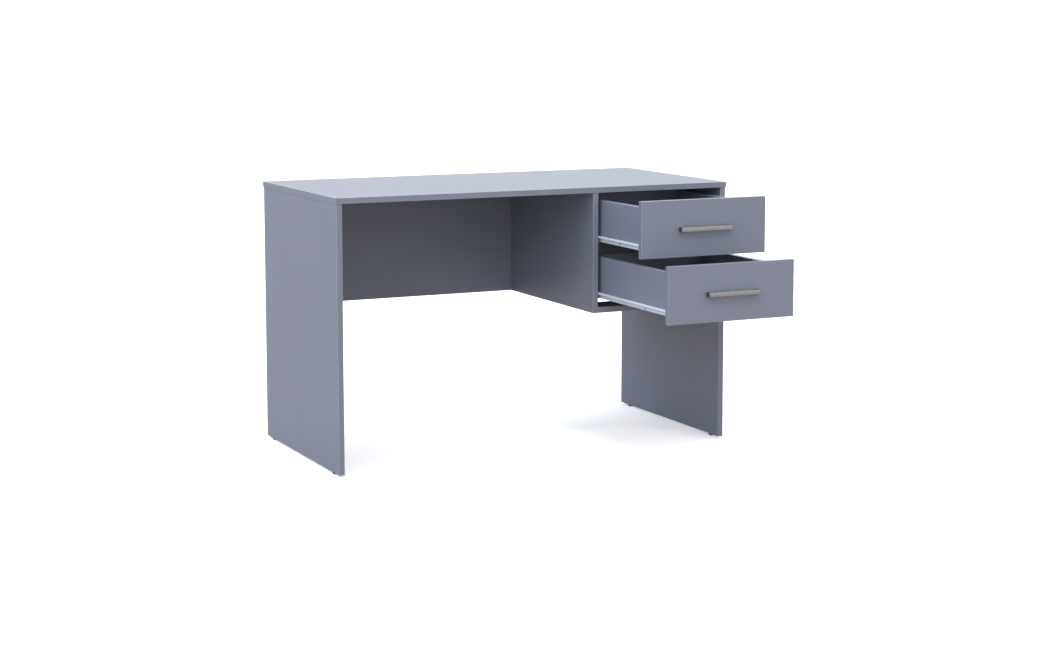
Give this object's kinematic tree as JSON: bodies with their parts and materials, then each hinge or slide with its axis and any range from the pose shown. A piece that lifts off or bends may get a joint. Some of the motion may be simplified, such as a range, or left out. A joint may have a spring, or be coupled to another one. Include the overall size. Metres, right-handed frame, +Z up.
{
  "type": "writing desk",
  "caption": "Blue-grey panel desk with a kneehole and a hanging pedestal of inset drawers on roller runners, both drawn open, with bar handles.",
  "frame": {"origin": "on the floor, under the middle of the box round the desk with its drawers open as stored", "axes": "+Z up, +X to the right along the desk as a sitter sees it, +Y from the sitter to the back panel"},
  "size_m": [1.2, 1.0116, 0.753],
  "materials": {
    "blue_grey_melamine": "matte blue-grey melamine on chipboard, fine pearl texture",
    "blue_grey_edge_strip": "matte blue-grey edge strip, glued",
    "grey_hardboard": "painted hardboard sheet, matte",
    "white_coated_steel": "white epoxy powder coat, satin",
    "zinc_plated_steel": "bright zinc plate",
    "zinc_die_cast": "bare die-cast zinc, dull",
    "white_nylon": "moulded nylon, smooth",
    "brushed_nickel": "brushed nickel plate, warm grey",
    "black_plastic": "moulded black polyethylene, matte",
    "beech": "fluted beech dowel, bare"
  },
  "bodies": {
    "desk_frame": {"desktop": "blue_grey_melamine", "desktop_edge_bands": "blue_grey_edge_strip", "left_leg_panel": "blue_grey_melamine", "right_leg_panel": "blue_grey_melamine", "pedestal_partition": "blue_grey_melamine", "modesty_panel": "blue_grey_melamine", "pedestal_front_rail": "blue_grey_melamine", "frame_edge_bands": "blue_grey_edge_strip", "floor_glides": "black_plastic", "glide_nails": "zinc_plated_steel", "cam_locks": "zinc_die_cast", "cam_bolts": "zinc_plated_steel", "dowels": "beech", "cabinet_roller_axles": "zinc_plated_steel", "cabinet_runner_screws": "zinc_plated_steel", "upper_left_cabinet_runner": "white_coated_steel", "upper_right_cabinet_runner": "white_coated_steel", "lower_left_cabinet_runner": "white_coated_steel", "lower_right_cabinet_runner": "white_coated_steel"},
    "upper_drawer": {"upper_drawer_front": "blue_grey_melamine", "upper_drawer_left_side": "blue_grey_melamine", "upper_drawer_right_side": "blue_grey_melamine", "upper_drawer_back": "blue_grey_melamine", "upper_drawer_bottom": "grey_hardboard", "upper_drawer_edge_bands": "blue_grey_edge_strip", "upper_drawer_handle": "brushed_nickel", "upper_drawer_handle_screws": "zinc_plated_steel", "upper_drawer_cam_locks": "zinc_die_cast", "upper_drawer_cam_bolts": "zinc_plated_steel", "upper_drawer_box_screws": "zinc_plated_steel", "upper_drawer_left_runner": "white_coated_steel", "upper_drawer_right_runner": "white_coated_steel", "upper_drawer_roller_axles": "zinc_plated_steel", "upper_drawer_runner_screws": "zinc_plated_steel"},
    "upper_left_cabinet_roller": {"upper_left_cabinet_roller": "white_nylon"},
    "upper_drawer_left_roller": {"upper_drawer_left_roller": "white_nylon"},
    "upper_right_cabinet_roller": {"upper_right_cabinet_roller": "white_nylon"},
    "upper_drawer_right_roller": {"upper_drawer_right_roller": "white_nylon"},
    "lower_drawer": {"lower_drawer_front": "blue_grey_melamine", "lower_drawer_left_side": "blue_grey_melamine", "lower_drawer_right_side": "blue_grey_melamine", "lower_drawer_back": "blue_grey_melamine", "lower_drawer_bottom": "grey_hardboard", "lower_drawer_edge_bands": "blue_grey_edge_strip", "lower_drawer_handle": "brushed_nickel", "lower_drawer_handle_screws": "zinc_plated_steel", "lower_drawer_cam_locks": "zinc_die_cast", "lower_drawer_cam_bolts": "zinc_plated_steel", "lower_drawer_box_screws": "zinc_plated_steel", "lower_drawer_left_runner": "white_coated_steel", "lower_drawer_right_runner": "white_coated_steel", "lower_drawer_roller_axles": "zinc_plated_steel", "lower_drawer_runner_screws": "zinc_plated_steel"},
    "lower_left_cabinet_roller": {"lower_left_cabinet_roller": "white_nylon"},
    "lower_drawer_left_roller": {"lower_drawer_left_roller": "white_nylon"},
    "lower_right_cabinet_roller": {"lower_right_cabinet_roller": "white_nylon"},
    "lower_drawer_right_roller": {"lower_drawer_right_roller": "white_nylon"}
  },
  "joints": [
    {"name": "upper_drawer_slide", "type": "slide", "parent": "desk_frame", "child": "upper_drawer", "axis": [0, -1, 0], "range_m": [-0.2465, 0.1535]},
    {"name": "upper_left_cabinet_roller_spin", "type": "hinge", "parent": "desk_frame", "child": "upper_left_cabinet_roller", "pos_m": [0.1905, -0.0627, 0.6039], "axis": [1, 0, 0], "continuous": true},
    {"name": "upper_drawer_left_roller_spin", "type": "hinge", "parent": "upper_drawer", "child": "upper_drawer_left_roller", "pos_m": [0.1905, 0.1153, 0.6039], "axis": [1, 0, 0], "continuous": true},
    {"name": "upper_right_cabinet_roller_spin", "type": "hinge", "parent": "desk_frame", "child": "upper_right_cabinet_roller", "pos_m": [0.5755, -0.0627, 0.6039], "axis": [1, 0, 0], "continuous": true},
    {"name": "upper_drawer_right_roller_spin", "type": "hinge", "parent": "upper_drawer", "child": "upper_drawer_right_roller", "pos_m": [0.5755, 0.1153, 0.6039], "axis": [1, 0, 0], "continuous": true},
    {"name": "lower_drawer_slide", "type": "slide", "parent": "desk_frame", "child": "lower_drawer", "axis": [0, -1, 0], "range_m": [-0.3956, 0.0044]},
    {"name": "lower_left_cabinet_roller_spin", "type": "hinge", "parent": "desk_frame", "child": "lower_left_cabinet_roller", "pos_m": [0.1905, -0.0627, 0.4434], "axis": [1, 0, 0], "continuous": true},
    {"name": "lower_drawer_left_roller_spin", "type": "hinge", "parent": "lower_drawer", "child": "lower_drawer_left_roller", "pos_m": [0.1905, -0.0338, 0.4434], "axis": [1, 0, 0], "continuous": true},
    {"name": "lower_right_cabinet_roller_spin", "type": "hinge", "parent": "desk_frame", "child": "lower_right_cabinet_roller", "pos_m": [0.5755, -0.0627, 0.4434], "axis": [1, 0, 0], "continuous": true},
    {"name": "lower_drawer_right_roller_spin", "type": "hinge", "parent": "lower_drawer", "child": "lower_drawer_right_roller", "pos_m": [0.5755, -0.0338, 0.4434], "axis": [1, 0, 0], "continuous": true}
  ],
  "couplings": [
    {"joint": "upper_left_cabinet_roller_spin", "follows": "upper_drawer_slide", "rad_per_m": 125},
    {"joint": "upper_drawer_left_roller_spin", "follows": "upper_drawer_slide", "rad_per_m": 125},
    {"joint": "upper_right_cabinet_roller_spin", "follows": "upper_drawer_slide", "rad_per_m": 125},
    {"joint": "upper_drawer_right_roller_spin", "follows": "upper_drawer_slide", "rad_per_m": 125},
    {"joint": "lower_left_cabinet_roller_spin", "follows": "lower_drawer_slide", "rad_per_m": 125},
    {"joint": "lower_drawer_left_roller_spin", "follows": "lower_drawer_slide", "rad_per_m": 125},
    {"joint": "lower_right_cabinet_roller_spin", "follows": "lower_drawer_slide", "rad_per_m": 125},
    {"joint": "lower_drawer_right_roller_spin", "follows": "lower_drawer_slide", "rad_per_m": 125}
  ]
}
